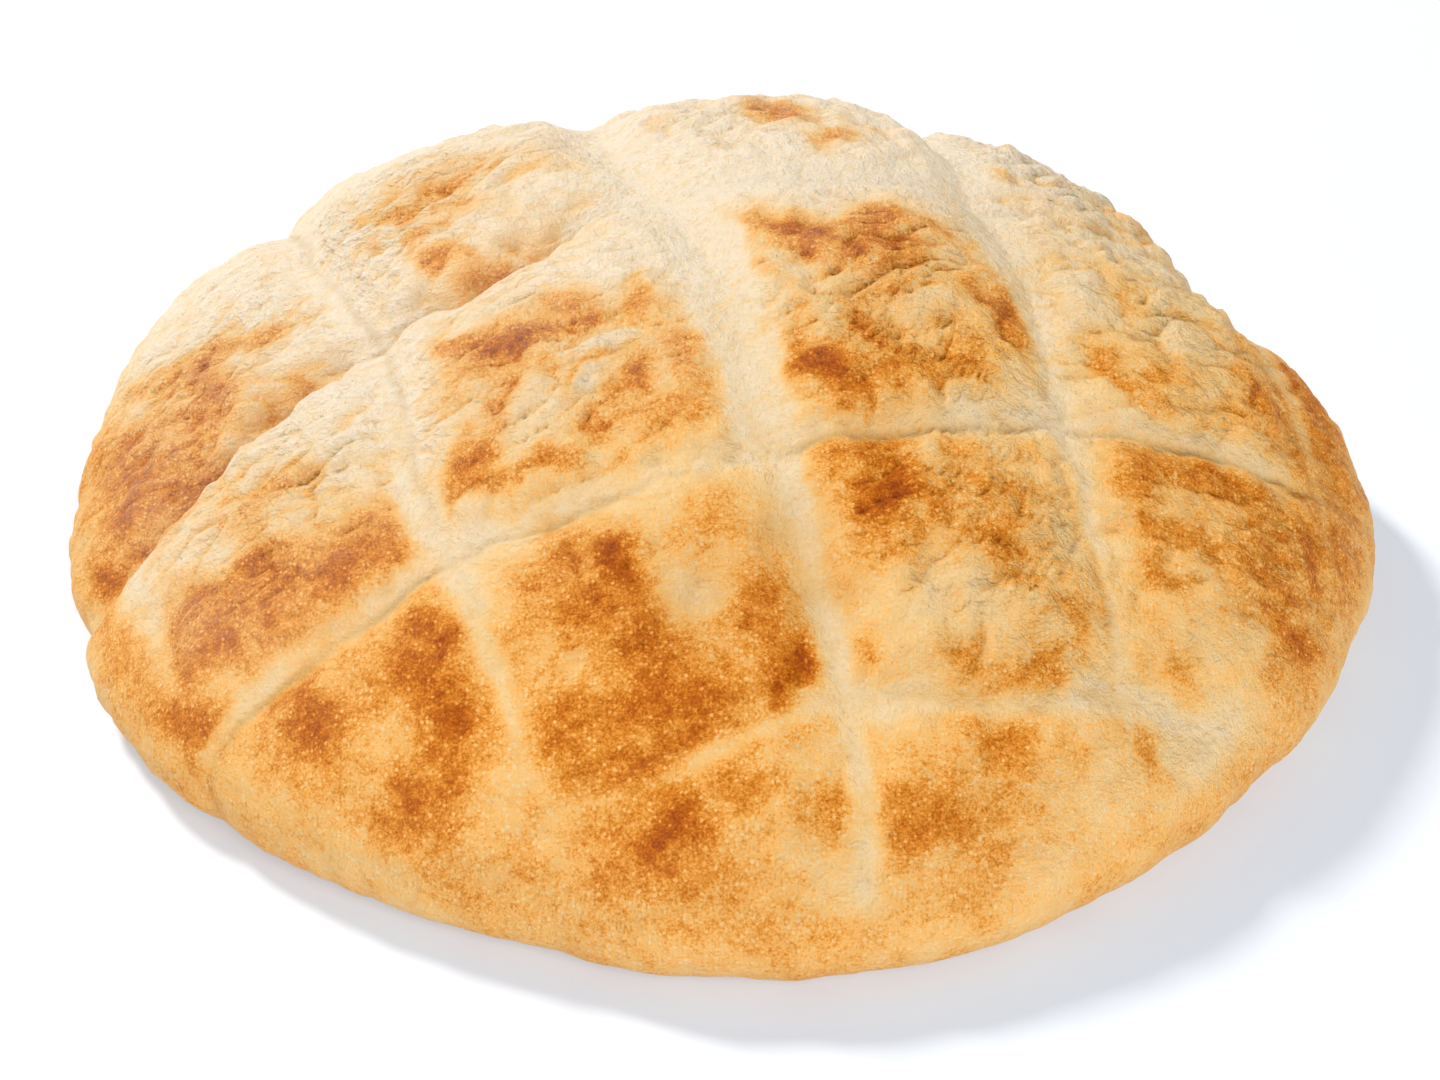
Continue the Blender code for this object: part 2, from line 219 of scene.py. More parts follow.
# Browning of the crust by strokes: how dark (1 is nearly burnt), radius, then the stroke's points
SCORCHES = (
    # left of the first lengthways score
    (0.30, 3.0, (-96, 18), (-93, 13), (-88, 11)), (0.35, 2.0, (-83, 14), (-76, 8), (-70, 6)),
    (0.55, 3.0, (-84, 8), (-82, 4), (-81, -3)), (0.45, 2.5, (-95, 2), (-96, -4)),
    (0.35, 3.5, (-99, 10), (-99, 0)), (0.68, 3.5, (-90, -11), (-88, -17), (-92, -20)),
    (0.50, 2.5, (-85, -13), (-83, -16)), (0.60, 2.5, (-84, -20), (-79, -20)),
    (0.35, 2.5, (-72, -9), (-66, -8)), (0.75, 2.3, (-97, -28), (-92, -29)),
    (0.45, 6.0, (-85, -5), (-88, -20)), (0.25, 4.0, (-92, -28), (-78, -14), (-66, -8)),
    (0.55, 1.5, (-85, -31)), (0.20, 5.0, (-80, -31), (-70, -31)), (0.40, 2.5, (-69, -36), (-61, -34)),
    (0.60, 3.0, (-80, -50), (-76, -50)), (0.60, 2.2, (-68, -47)),
    (0.65, 4.0, (-71, -53), (-60, -54), (-50, -52)), (0.55, 2.5, (-69, -55), (-59, -55)),
    (0.50, 2.0, (-53, -53), (-50, -53)), (0.40, 2.0, (-46, -52)),
    (0.42, 2.5, (-57, -50), (-48, -47), (-43, -46)), (0.40, 4.0, (-78, -58), (-68, -59)),
    (0.50, 3.0, (-87, -54), (-80, -63)), (0.55, 1.8, (-77, -66), (-72, -68)),
    (0.40, 4.0, (-96, -38), (-90, -50)),
    # the front-left pillow
    (0.75, 2.3, (-61, -69), (-58, -73), (-56, -74)), (0.80, 2.2, (-41, -64), (-40, -67), (-38, -67)),
    (0.60, 3.0, (-43, -69), (-38, -74)), (0.80, 2.0, (-36, -77), (-35, -80)),
    (0.65, 3.0, (-34, -84), (-38, -85)), (0.80, 2.5, (-44, -84), (-43, -87)),
    (0.30, 5.0, (-54, -73), (-48, -77)), (0.35, 4.0, (-38, -90), (-28, -94)),
    (0.58, 4.0, (-40, -80), (-36, -88)),
    # between the first and the second, back
    (0.45, 1.3, (-58, 31), (-54, 27), (-50, 23)), (0.30, 1.8, (-50, 31), (-41, 29)),
    (0.38, 1.3, (-44, 23), (-42, 23)), (0.50, 1.4, (-48, 12), (-47, 15)), (0.35, 1.2, (-57, 17)),
    (0.55, 1.6, (-45, 8), (-40, 8)), (0.55, 2.0, (-40, 3), (-35, 5)), (0.25, 3.0, (-46, 36)),
    (0.28, 3.5, (-42, 2), (-30, 4), (-22, 13)), (0.18, 3.0, (-46, 31), (-36, 33), (-28, 31)),
    (0.18, 2.5, (-44, 19), (-34, 20)), (0.22, 2.0, (-52, 34), (-47, 37)),
    # between the first and the second, middle
    (0.65, 1.8, (-40, -18), (-34, -18)), (0.90, 1.7, (-33, -19.5), (-29, -19), (-25, -18.5)),
    (0.45, 4.0, (-33, -20), (-24, -20)), (0.65, 2.0, (-23, -12), (-21, -14)),
    (0.65, 1.8, (-24, -18), (-19, -18)), (0.60, 1.8, (-11, -14), (-12, -17)), (0.45, 1.5, (-12, -10)),
    (0.35, 2.5, (-8, -18), (-6, -24)), (0.40, 3.0, (-34, -23), (-38, -26)), (0.55, 1.5, (-30, -28)),
    (0.50, 2.0, (-33, -32), (-31, -34)), (0.65, 2.3, (-34, -38), (-37, -42)),
    (0.70, 1.8, (-12, -29), (-12, -31)), (0.40, 2.5, (-13, -34), (-18, -38)),
    (0.36, 3.0, (-9, -36), (-2, -37)), (0.55, 1.5, (-38, -45), (-30, -45), (-20, -43)),
    (0.35, 2.5, (-4, -24), (-2, -32)),
    # between the first and the second, front
    (0.90, 2.0, (-14, -60), (-12, -62)), (0.50, 2.5, (-26, -62), (-21, -60)),
    (0.60, 2.5, (-16, -65), (-18, -69)), (0.55, 3.0, (-14, -68), (-11, -65)),
    (0.75, 2.3, (-9, -71), (-6, -72)), (0.65, 3.0, (-9, -79), (-14, -82), (-18, -80)),
    (0.60, 2.4, (-9, -84), (-4, -82), (1, -82)), (0.50, 2.0, (-13, -88), (-9, -88)),
    (0.40, 3.0, (-21, -84), (-18, -87)), (0.55, 2.5, (7, -66), (5, -71)),
    (0.90, 2.2, (9, -79), (11, -77), (13, -76)), (0.50, 2.5, (4, -77), (7, -75)),
    (0.35, 2.5, (0, -52), (1, -58)), (0.95, 1.8, (-7, -96), (-4, -95)),
    (0.55, 2.2, (-1, -97), (-5, -99)), (0.40, 2.5, (4, -93)), (0.45, 1.6, (18, -93), (17, -96)),
    (0.35, 3.0, (-16, -95), (-14, -98)),
    # between the second and the third, back
    (0.70, 3.0, (12, 42), (10, 49)), (0.45, 1.4, (7, 44), (5, 42)), (0.34, 1.2, (-8, 42), (-8, 45)),
    (0.50, 2.0, (18, 30), (20, 32), (22, 36)), (0.35, 1.6, (22, 42), (28, 40)),
    (0.25, 5.0, (10, 66)),
    # between the second and the third, middle
    (0.50, 2.0, (6, 5), (6, 3)), (0.75, 2.4, (10, 1), (13, 2), (17, 0)), (0.60, 2.0, (14, -3)),
    (0.75, 2.4, (23, 3), (27, 6), (25, 1), (22, -4)), (0.65, 2.2, (27, -5), (28, -1)),
    (0.40, 1.5, (33, 5), (37, 5)), (0.65, 3.0, (41, -9), (45, -10), (46, -15), (42, -18)),
    (0.45, 2.0, (38, -15)), (0.35, 1.5, (7, -7), (12, -12), (14, -18)),
    (0.55, 1.6, (23, -20), (26, -22), (25, -24)), (1.25, 2.2, (16, -28), (20, -30)),
    (0.50, 2.2, (20, -32), (24, -29)), (0.50, 2.0, (26, -28), (31, -27)),
    (0.42, 1.5, (34, -26), (41, -25)), (0.40, 1.5, (12, -24), (14, -22)),
    (0.55, 1.3, (40, -22), (45, -21)),
    # between the second and the third, front
    (0.55, 2.5, (18, -41), (18, -45)), (0.70, 2.5, (25, -39), (27, -42)), (0.50, 3.0, (23, -44)),
    (0.75, 2.0, (31, -45), (28, -47)), (0.50, 2.2, (34, -48), (41, -48)),
    (0.70, 2.0, (22, -49), (23, -53)), (0.95, 2.1, (25, -53), (27, -50)), (0.65, 2.0, (24, -56)),
    (0.65, 1.8, (33, -52)), (0.60, 2.0, (39, -55), (42, -56)), (0.40, 2.5, (22, -59), (26, -60)),
    (0.22, 2.0, (43, -59), (45, -45)), (0.35, 2.0, (48, -37)), (0.50, 1.6, (34, -72), (38, -72)),
    (0.55, 2.0, (43, -73), (48, -71)), (0.45, 2.5, (54, -65)), (0.45, 1.5, (23, -74)),
    (0.55, 2.5, (43, -82), (40, -84)), (0.45, 2.0, (51, -82)), (0.40, 3.0, (28, -91), (31, -94)),
    (0.45, 2.0, (28, -97)),
    # right of the third
    (0.40, 1.5, (48, 34)), (0.30, 5.0, (66, 38), (74, 42)), (0.25, 3.0, (52, 28), (76, 28)),
    (0.35, 2.3, (63, 3), (65, 0)), (0.55, 2.3, (86, -7), (90, -7)),
    (0.50, 2.0, (60, -15), (64, -20), (67, -20)), (0.20, 1.5, (70, -15), (80, -15), (86, -13)),
    (0.17, 2.0, (66, -13), (75, -11)), (0.17, 1.6, (72, -18), (82, -17)),
    (0.50, 5.0, (96, 12), (100, -8)), (0.45, 5.0, (100, -14), (98, -30)),
    (0.45, 3.0, (70, -32), (80, -31), (88, -30)), (0.70, 2.0, (91, -31), (92, -35)),
    (0.50, 3.0, (84, -36), (88, -34)), (0.65, 2.4, (84, -41), (87, -41)),
    (0.55, 2.4, (85, -48), (88, -48)), (0.55, 2.0, (62, -39), (66, -33)),
    (0.50, 2.0, (65, -44), (75, -44), (80, -43)), (0.60, 2.3, (65, -48), (67, -51)),
    (0.45, 3.0, (85, -55), (90, -46)), (0.65, 2.0, (62, -76)), (0.35, 2.5, (68, -64), (64, -66)),
    (0.18, 8.0, (66, -62), (74, -58)),
)
SCORCH_WANDER = ((6 * MM, 2.2 * MM), (2.5 * MM, 0.8 * MM))  # how the patches' edges waver, at two sizes
DARKEST = 0.8  # browning of a full scorch
OPEN_TOAST = 0.17  # browning between the scorches
# Flour and painted glare both make the crust paler
FLOUR_AND_GLARE_PALER = 0.05  # how much paler it is where flour lies
RIM_TOAST = 0.07
BACK_RIM_TOAST = 0.25  # added to the rim's browning at the back
UNDER_TOAST = 0.36  # browning of the underside
RIM_FLOUR = 0.1
# Browner and less floured in the creases below folds and in the wrinkles' lows: painted warm shade
CREASE_SHADE_TOAST = 0.17  # added to the browning in creases
CREASE_SHADE_CLEAN = 0.7  # share of the flour that is missing from them

# Pillows baked to gold all over: place, radius, and how much gold is added
GILDED = (
    (-66, -50, 13, 0.12), (-52, -76, 20, 0.20), (-14, -74, 19, 0.20), (-18, -52, 8, 0.12),
    (0, -100, 26, 0.21), (-14, -34, 13, 0.09), (-34, -14, 9, 0.06), (28, -6, 15, 0.15),
    (30, -28, 10, 0.12), (32, -50, 15, 0.09), (40, -62, 10, 0.05), (13, -60, 9, 0.14),
    (42, -92, 18, 0.22), (80, -38, 19, 0.17), (80, -10, 16, 0.06), (-84, -62, 16, 0.20),
    (50, -48, 8, 0.09), (52, -60, 7, 0.09), (100, 0, 16, 0.24), (99, -30, 12, 0.12),
    (-92, -8, 17, 0.20), (-95, -45, 14, 0.08), (-60, 24, 16, 0.03), (-38, 28, 16, 0.08),
)

# Spots left pale: place, radius and strength
PALE_SPOTS = (
    (-3, -67, 5, 1), (-19, -74, 2.5, 0.8), (-18, -29, 3, 0.5), (33, -63, 4, 0.8), (32, -43, 3, 0.8),
    (-15, -21, 3, 1), (27, -19, 3, 0.6), (38, -64, 8, 0.45), (24, 25, 5, 1), (10, 25, 5, 1),
    (60, 32, 12, 0.6), (-2, 36, 8, 0.8), (-46, -78, 4, 0.5), (-30, -88, 5, 0.4), (20, -100, 6, 0.4),
    (-22, -36, 3, 0.6), (-13, -25, 3, 0.7), (49, -92, 8, 0.4), (61, 2, 6, 0.5), (17, 12, 6, 1),
    (71, -77, 9, 0.45), (79, -68, 8, 0.25), (22, -9, 4, 0.4), (32, -9.5, 4, 0.4), (38, -14, 4.5, 0.5),
    (30, -17, 4, 0.3), (42, -19, 3.5, 0.4), (14, -13, 3.5, 0.4),
)

# Hollows darkened by painted shade: place, radius and strength
SHADED_HOLLOWS = (
    (-3, -67, 9, 0.9), (11, -56, 6, 1.0), (14, -66, 6, 1.0), (37, -64, 12, 0.25), (46, 8, 12, 0.3),
)

# Crust mesh
CRUST_CELLS = 288  # cells along each side of the folded grid, a multiple of 4
TUCK_RINGS = 6  # rings from the rim down to the base
RIM_LUMPS = 0.6 * MM
BASE_RINGS = (0.985, 0.96)  # their radius as a share of the base's, with half the points each time
BASE_CELLS = CRUST_CELLS // 4
BASE_LUMPS = 0.5 * MM
SECTION_STEPS = 2000
SCORE_STEPS = 6  # straight steps between two points of a score or a fold
DISC_STEP = 0.01  # step within the unit disc over which the dome's slope is taken


def fold_square(u, v):
    """Points of the square from -1 to 1 moved into the unit disc, each square ring to a circle."""
    across = np.abs(u) >= np.abs(v)
    reach = np.where(across, u, v)
    turn = np.pi / 4 * np.where(across, v, u) / np.where(reach == 0, 1, reach)
    angle = np.where(across, turn, np.pi / 2 - turn)
    return reach * np.cos(angle), reach * np.sin(angle)


def folded_grid(cells):
    steps = np.linspace(-1, 1, cells + 1)
    v, u = np.meshgrid(steps, steps, indexing="ij")
    return fold_square(u, v)


def outline(angle):
    """Rim's radius in each direction."""
    waves = sum(c * np.cos(n * angle) + s * np.sin(n * angle) for n, c, s in OUTLINE_WAVES)
    return RADIUS * (1 + waves)


def section(share):
    """Radius share and height at a share of the way from the crown to the rim, along the dome."""
    radius = 1 - np.linspace(1, 0, SECTION_STEPS) ** 3
    drop = (1 - radius**ROUNDNESS) ** STEEPNESS
    height = RIM_HEIGHT + (CROWN_HEIGHT - RIM_HEIGHT) * drop
    steps = np.hypot(np.diff(radius * RADIUS), np.diff(height))
    way = np.concatenate([[0], np.cumsum(steps)])
    way /= way[-1]
    return np.interp(share, way, radius), np.interp(share, way, height)


def dome(x, y):
    """Points of the smooth dome for points of the unit disc, and their radius shares."""
    angle = np.arctan2(y, x)
    share, height = section(np.hypot(x, y))
    lean = 1 - share**2
    points = np.stack(
        [
            outline(angle) * share * np.cos(angle) + CROWN_SHIFT[0] * lean,
            outline(angle) * share * np.sin(angle) + CROWN_SHIFT[1] * lean,
            height,
        ],
        axis=-1,
    )
    return points, share


def outward(x, y):
    """Unit normals of the smooth dome for points of the unit disc."""
    rightward = dome(x + DISC_STEP, y)[0] - dome(x - DISC_STEP, y)[0]
    backward = dome(x, y + DISC_STEP)[0] - dome(x, y - DISC_STEP)[0]
    normal = np.cross(rightward, backward)
    return normal / np.linalg.norm(normal, axis=-1, keepdims=True)


def smooth_path(points):
    """Rows of a Catmull-Rom curve through the given rows, from millimetres to metres."""
    route = np.array(points, float) * MM
    route = np.vstack([2 * route[0] - route[1], route, 2 * route[-1] - route[-2]])
    t = np.linspace(0, 1, SCORE_STEPS, endpoint=False)[:, None]
    legs = []
    for a, b, c, d in zip(route, route[1:], route[2:], route[3:]):
        bend = (2 * a - 5 * b + 4 * c - d) * t**2 + (3 * b - a - 3 * c + d) * t**3
        legs.append(b + ((c - a) * t + bend) / 2)
    return np.vstack(legs + [route[-2:-1]])


def trace(path, plan):
    """Signed distance of each plan point from a path, positive on its left, and the path's other
    columns at the nearest place."""
    nearest = np.full(plan.shape[:-1], np.inf)
    side = np.zeros(plan.shape[:-1])
    values = np.zeros(plan.shape[:-1] + (path.shape[1] - 2,))
    for start, end in zip(path, path[1:]):
        leg = end[:2] - start[:2]
        offset = plan - start[:2]
        along = np.clip(offset @ leg / (leg @ leg), 0, 1)
        gap = offset - along[..., None] * leg
        far = np.hypot(gap[..., 0], gap[..., 1])
        closer = far < nearest
        nearest = np.where(closer, far, nearest)
        side = np.where(closer, leg[0] * offset[..., 1] - leg[1] * offset[..., 0], side)
        here = start[2:] + along[..., None] * (end[2:] - start[2:])
        values = np.where(closer[..., None], here, values)
    return np.copysign(nearest, side), values


def bumps(points, size, seed=0.0):
    """Smooth noise from -1 to 1 whose features are about as large as size, in metres."""
    flat = (points.reshape(-1, 3) / np.asarray(size) + seed).tolist()
    return np.array([noise.noise(p) for p in flat]).reshape(points.shape[:-1])


def wander(points, size, reach, seed):
    """Plan points moved about by up to reach."""
    moves = [bumps(points, size, seed), bumps(points, size, seed + 0.5)]
    return points[..., :2] + reach * np.stack(moves, axis=-1)


def far_from(plan, x, y):
    """Distance of each plan point from a place in millimetres."""
    return np.linalg.norm(plan - np.array([x, y]) * MM, axis=-1)


def bell(gap, width):
    """1 at no gap, falling off to nothing on both sides."""
    return np.exp(-((gap / width) ** 2))


def step_up(value, low, high):
    """0 below low, 1 above high, smooth between."""
    t = np.clip((value - low) / (high - low), 0, 1)
    return t * t * (3 - 2 * t)


def overlay(total, share):
    """A share laid over what is there already, never past 1."""
    return total + share * (1 - total)


def wrinkles(points):
    """Wrinkles along the cross scores, rounded on top with sharp creases between."""
    turned = points.copy()
    cos, sin = math.cos(WRINKLE_TURN), math.sin(WRINKLE_TURN)
    turned[..., 0] = points[..., 0] * cos + points[..., 1] * sin
    turned[..., 1] = points[..., 1] * cos - points[..., 0] * sin
    turned[..., 1] += 3 * MM * bumps(points, 11 * MM, 3)
    size = np.array([WRINKLE_LENGTH, WRINKLE_WIDTH, WRINKLE_LENGTH])
    large = np.abs(bumps(turned, size, 11))
    small = np.abs(bumps(turned, size / 2, 17))
    return 0.5 * np.tanh(6 * large) + 1.2 * large + 0.3 * np.tanh(5 * small) + 0.4 * small - 0.9


def patches(plan, spots):
    """Soft round patches laid over each other: place and radius in millimetres, and strength."""
    total = np.zeros(plan.shape[:-1])
    for x, y, radius, strength in spots:
        total = overlay(total, strength * bell(far_from(plan, x, y), radius * MM))
    return total


class Lines:
    """Signed distance from the nearest sharp line of the crust, and how strong that line is there."""

    def __init__(self, shape):
        self.gap = np.full(shape, NO_LINE)
        self.strength = np.zeros(shape)

    def add(self, gap, strength):
        closer = np.abs(gap) < np.abs(self.gap)
        self.gap = np.where(closer, gap, self.gap)
        self.strength = np.where(closer, strength * (np.abs(gap) < LINE_REACH), self.strength)


def fold_steps(plan, lines):
    """The torn folds: a step along each line that dies away on both sides and at both ends, and how
    much warm shade is painted in the crease just below each."""
    rise = np.zeros(plan.shape[:-1])
    crease_shade = np.zeros(plan.shape[:-1])
    for step, reach, route in FOLDS:
        ends = [0] + [1 / MM] * (len(route) - 2) + [0]
        path = smooth_path([(*place, end) for place, end in zip(route, ends)])
        gap, hold = trace(path, plan)
        rise += step * MM * np.tanh(gap / FOLD_EDGE) * np.exp(-np.abs(gap) / (reach * MM)) * hold[..., 0]
        # Painted warm shade just below each fold's step
        crease_shade = np.maximum(crease_shade, step * hold[..., 0] * bell(gap + FOLD_EDGE / 2, FOLD_EDGE))
        lines.add(gap, 0.3 * step * hold[..., 0])
    return rise, crease_shade


def sink_scores(points, plan, share, lines):
    """How far the score lines sink the crust, and how pale it is in them."""
    (bay, bay_size), (nick, nick_size) = RAGGED_EDGE
    ragged = bay * bumps(points, bay_size, 23) + nick * bumps(points, nick_size, 24)
    pillow = np.ones(share.shape)
    crease = np.zeros(share.shape)
    pale = np.zeros(share.shape)
    for left, right, sharp, shift, bare, route in SCORES:
        gap, values = trace(smooth_path(route), plan)
        depth, opened = values[..., 0], values[..., 1]
        wall = np.where(gap > 0, left, right) * MM
        dip = PUFF_SHARE * bell(gap, PUFF_WIDTH) + (1 - PUFF_SHARE) * bell(gap, wall)
        pillow *= 1 - depth / FULL_DEPTH * dip
        crease = np.maximum(crease, sharp * depth * np.exp(-np.abs(gap) / CREASE_HALF_WIDTH))
        narrow = 1 - step_up(opened, 2.5 * MM, 4.5 * MM)
        lines.add(gap, step_up(sharp, 0.1, 0.25) * step_up(depth, 1.4 * MM, 3 * MM) * narrow)
        spread = np.abs(gap - shift * MM) + ragged * np.clip(0.3 + opened / (5 * MM), 0.3, 1) - opened
        pale = np.maximum(pale, bare * (1 - step_up(spread, *PALE_EDGE)))
    fade = 1 - (1 - SCORE_LEFT_AT_RIM) * share**6
    rise = (FULL_DEPTH * (pillow - 1) - crease * (0.7 + 0.6 * bumps(points, 12 * MM, 5))) * fade
    return rise, pale


def uneven_crust(points, share, top):
    """Lumps of three sizes, the smaller two flatter at the rim and on the pale dough of the scores."""
    broad, middling, small = [
        height * bumps(points, size, seed)
        for (height, size), seed in ((BROAD_LUMPS, 31), (MIDDLE_LUMPS, 32), (SMALL_LUMPS, 33))
    ]
    calm = 1 - CALM_AT_RIM * share**8
    return broad + middling * (0.3 + 0.7 * top) * calm + small * (0.5 + 0.5 * top) * calm


def relief(points, share):
    """How far the crust stands out from the dome, how pale and wrinkled it is, where warm shade is
    painted in its creases, and where its sharp lines run."""
    plan = wander(points, *SCORE_WANDER, 21)
    lines = Lines(share.shape)
    rise, pale = sink_scores(points, plan, share, lines)
    for x, y, lift in SWELLS:
        rise += lift * MM * bell(far_from(points[..., :2], x, y), SWELL_RADIUS)
    top = 1 - pale
    wrinkled = patches(plan, WRINKLED)
    wave = wrinkles(points)
    rise += WRINKLE_HEIGHT * wrinkled * top * wave
    folds, crease_shade = fold_steps(wander(points, *FOLD_WANDER, 25), lines)
    rise += folds * (FOLD_ON_SCORES + (1 - FOLD_ON_SCORES) * top)
    rise += uneven_crust(points, share, top)
    for x, y, radius, depth in DIMPLES:
        rise -= depth * MM * bell(far_from(plan, x, y), radius * MM)
    # The wrinkles' lows get painted warm shade too
    crease_shade = np.maximum(crease_shade, wrinkled * step_up(-wave, 0, 0.7))
    lines.strength *= np.clip(0.8 + 1.2 * bumps(points, 15 * MM, 27), 0, 1)
    return rise, pale, crease_shade, wrinkled * top, lines


def scorched(plan):
    """The darkest stroke at each place, a little darker where others overlap it."""
    scorch = np.zeros(plan.shape[:-1])
    for strength, radius, *route in SCORCHES:
        if len(route) == 1:
            gap = far_from(plan, *route[0])
        else:
            gap, _ = trace(np.array(route, float) * MM, plan)
        patch = strength * (0.6 * bell(gap, 1.3 * radius * MM) + 0.4 * bell(gap, 2.8 * radius * MM))
        less, more = np.minimum(scorch, patch), np.maximum(scorch, patch)
        scorch = overlay(more, 0.2 * less)
    return scorch


def toast(points, share, pale):
    """Browning of the crust: 0 is pale dough, 1 is nearly burnt."""
    coarse, fine = SCORCH_WANDER
    plan = wander(points, *coarse, 41)
    plan += wander(points, *fine, 42) - points[..., :2]
    pale = overlay(pale, 0.8 * patches(plan, PALE_SPOTS) * (1 - pale))
    mottle = 0.6 * bumps(points, 9 * MM, 43) + 0.35 * bumps(points, 3 * MM, 44)
    behind = step_up(points[..., 1], 20 * MM, 75 * MM)
    rim = (RIM_TOAST + BACK_RIM_TOAST * behind * (1 + mottle)) * step_up(share, 0.95 - 0.14 * behind, 1.0)
    # Paler where the flour and the painted glare lie
    open_crust = OPEN_TOAST - FLOUR_AND_GLARE_PALER * flour_and_glare(points, share) + patches(plan, GILDED)
    base = open_crust * (1 + 0.6 * mottle)
    tone = base + (DARKEST - base) * np.clip(scorched(plan) * (1 + 0.5 * mottle), 0, 1)
    tone = overlay(np.clip(tone, 0, 1), rim)
    tone = np.clip(tone - pale * (tone - 0.5 * base), 0, 1)
    return tone + (under_toast(points) - tone) * step_up(share, 0.975, 1.0)


def under_toast(points):
    """Browning of the rim and the underside."""
    mottle = 0.12 * bumps(points, 14 * MM, 71) + 0.08 * bumps(points, 5 * MM, 72)
    return np.clip(UNDER_TOAST + mottle, 0, 1)


def painted_hollow_shade(points, pale):
    """Painted shade in hollows and scores, mostly at the front."""
    hollow = patches(wander(points, 5 * MM, 2 * MM, 45), SHADED_HOLLOWS)
    return overlay(hollow, 0.12 * pale)


def flour_and_glare(points, share):
    """Dusting of flour and painted glare of the light from the back left: most at the back left, and little
    at the rim.
    """
    across = (points[..., 1] * 0.83 - points[..., 0] * 0.55) / RADIUS
    dusted = step_up(across + 0.12 * bumps(points, 12 * MM, 81), -0.45, 0.2)
    return dusted + (RIM_FLOUR - dusted) * step_up(share, 0.9, 1.0)


def edge_ring(grid):
    """Border points of a grid, once round."""
    return np.concatenate([grid[0, :-1], grid[:-1, -1], grid[-1, :0:-1], grid[:0:-1, 0]])


def build_crust():
    x, y = folded_grid(CRUST_CELLS)
    points, share = dome(x, y)
    rise, pale, crease_shade, wrinkled, lines = relief(points, share)
    crust = points + outward(x, y) * rise[..., None]
    values = {
        # Painted warm shade in the creases: browner, and with less flour
        "toast": toast(points, share, pale) + CREASE_SHADE_TOAST * crease_shade,
        "pale": pale,
        # Painted shade of the hollows and scores
        "hollow_shade": painted_hollow_shade(points, pale),
        "wrinkled": wrinkled,
        "flour_and_glare": flour_and_glare(points, share) * (1 - CREASE_SHADE_CLEAN * crease_shade),
        "line_gap": lines.gap,
        "line_strength": lines.strength,
    }
    return crust, values


class Surface:
    """Points and faces of the loaf, added part by part."""

    def __init__(self):
        self.points = []
        self.faces = []
        self.count = 0

    def add(self, points):
        """Adds rows of points and gives their numbers."""
        numbers = np.arange(self.count, self.count + len(points))
        self.points.append(points)
        self.count += len(points)
        return numbers

    def join(self, *corners):
        """Adds a face for each set of corner numbers."""
        self.faces += np.stack(corners, -1).reshape(-1, len(corners)).tolist()


def add_crust(surface, crust):
    """The crust's grid. Gives the numbers of its border, once round."""
    ids = surface.add(crust.reshape(-1, 3)).reshape(crust.shape[:2])
    surface.join(ids[:-1, :-1], ids[:-1, 1:], ids[1:, 1:], ids[1:, :-1])
    return edge_ring(ids)


def add_tuck(surface, rim, ids):
    """Rings of the rolled rim, down to the base. Gives the last ring and its numbers."""
    turns = np.linspace(0, np.pi / 2, TUCK_RINGS + 1)[1:]
    insets = 1 - (1 - BASE_SHARE) * (1 - np.cos(turns))
    levels = np.maximum(1 - np.sin(turns), 0)
    for inset, level in zip(insets, levels):
        ring = rim * (inset, inset, level)
        lumps = RIM_LUMPS * bumps(ring, 7 * MM, 51) * (1 - level)
        ring[:, :2] *= 1 + lumps[:, None] / RADIUS
        below = surface.add(ring)
        surface.join(ids, below, np.roll(below, -1), np.roll(ids, -1))
        ids = below
    return ring, ids


def add_halved_rings(surface, ring, ids):
    """Rings just inside the base's edge, each with half as many points as the one around it.

    Gives the last ring and its numbers."""
    for share, outer in zip(BASE_RINGS, (1,) + BASE_RINGS):
        ring = ring[::2] * (share / outer, share / outer, 1)
        inner = surface.add(ring)
        inner_next = np.roll(inner, -1)
        even, odd = ids[::2], ids[1::2]
        surface.join(even, inner, odd)
        surface.join(odd, inner, inner_next)
        surface.join(odd, inner_next, np.roll(even, -1))
        ids = inner
    return ring, ids


def add_base(surface, ring, ids):
    """The underside's grid, stretched to the last ring and slightly uneven."""
    x, y = folded_grid(BASE_CELLS)
    reach, angle = np.hypot(x, y), np.arctan2(y, x)
    edge_angle, edge_radius = np.arctan2(ring[:, 1], ring[:, 0]), np.hypot(ring[:, 0], ring[:, 1])
    radius = reach * np.interp(angle, edge_angle, edge_radius, period=2 * np.pi)
    base = np.stack([radius * np.cos(angle), radius * np.sin(angle), 0 * reach], -1)
    base[..., 2] = BASE_LUMPS * np.clip(bumps(base, 16 * MM, 61) + 0.2, 0, 1) * (1 - reach**8)
    inner = surface.add(base[1:-1, 1:-1].reshape(-1, 3))
    grid = np.zeros((BASE_CELLS + 1, BASE_CELLS + 1), int)
    grid[1:-1, 1:-1] = inner.reshape(BASE_CELLS - 1, BASE_CELLS - 1)
    grid[0, :-1], grid[:-1, -1], grid[-1, :0:-1], grid[:0:-1, 0] = np.split(ids, 4)
    surface.join(grid[:-1, :-1], grid[1:, :-1], grid[1:, 1:], grid[:-1, 1:])


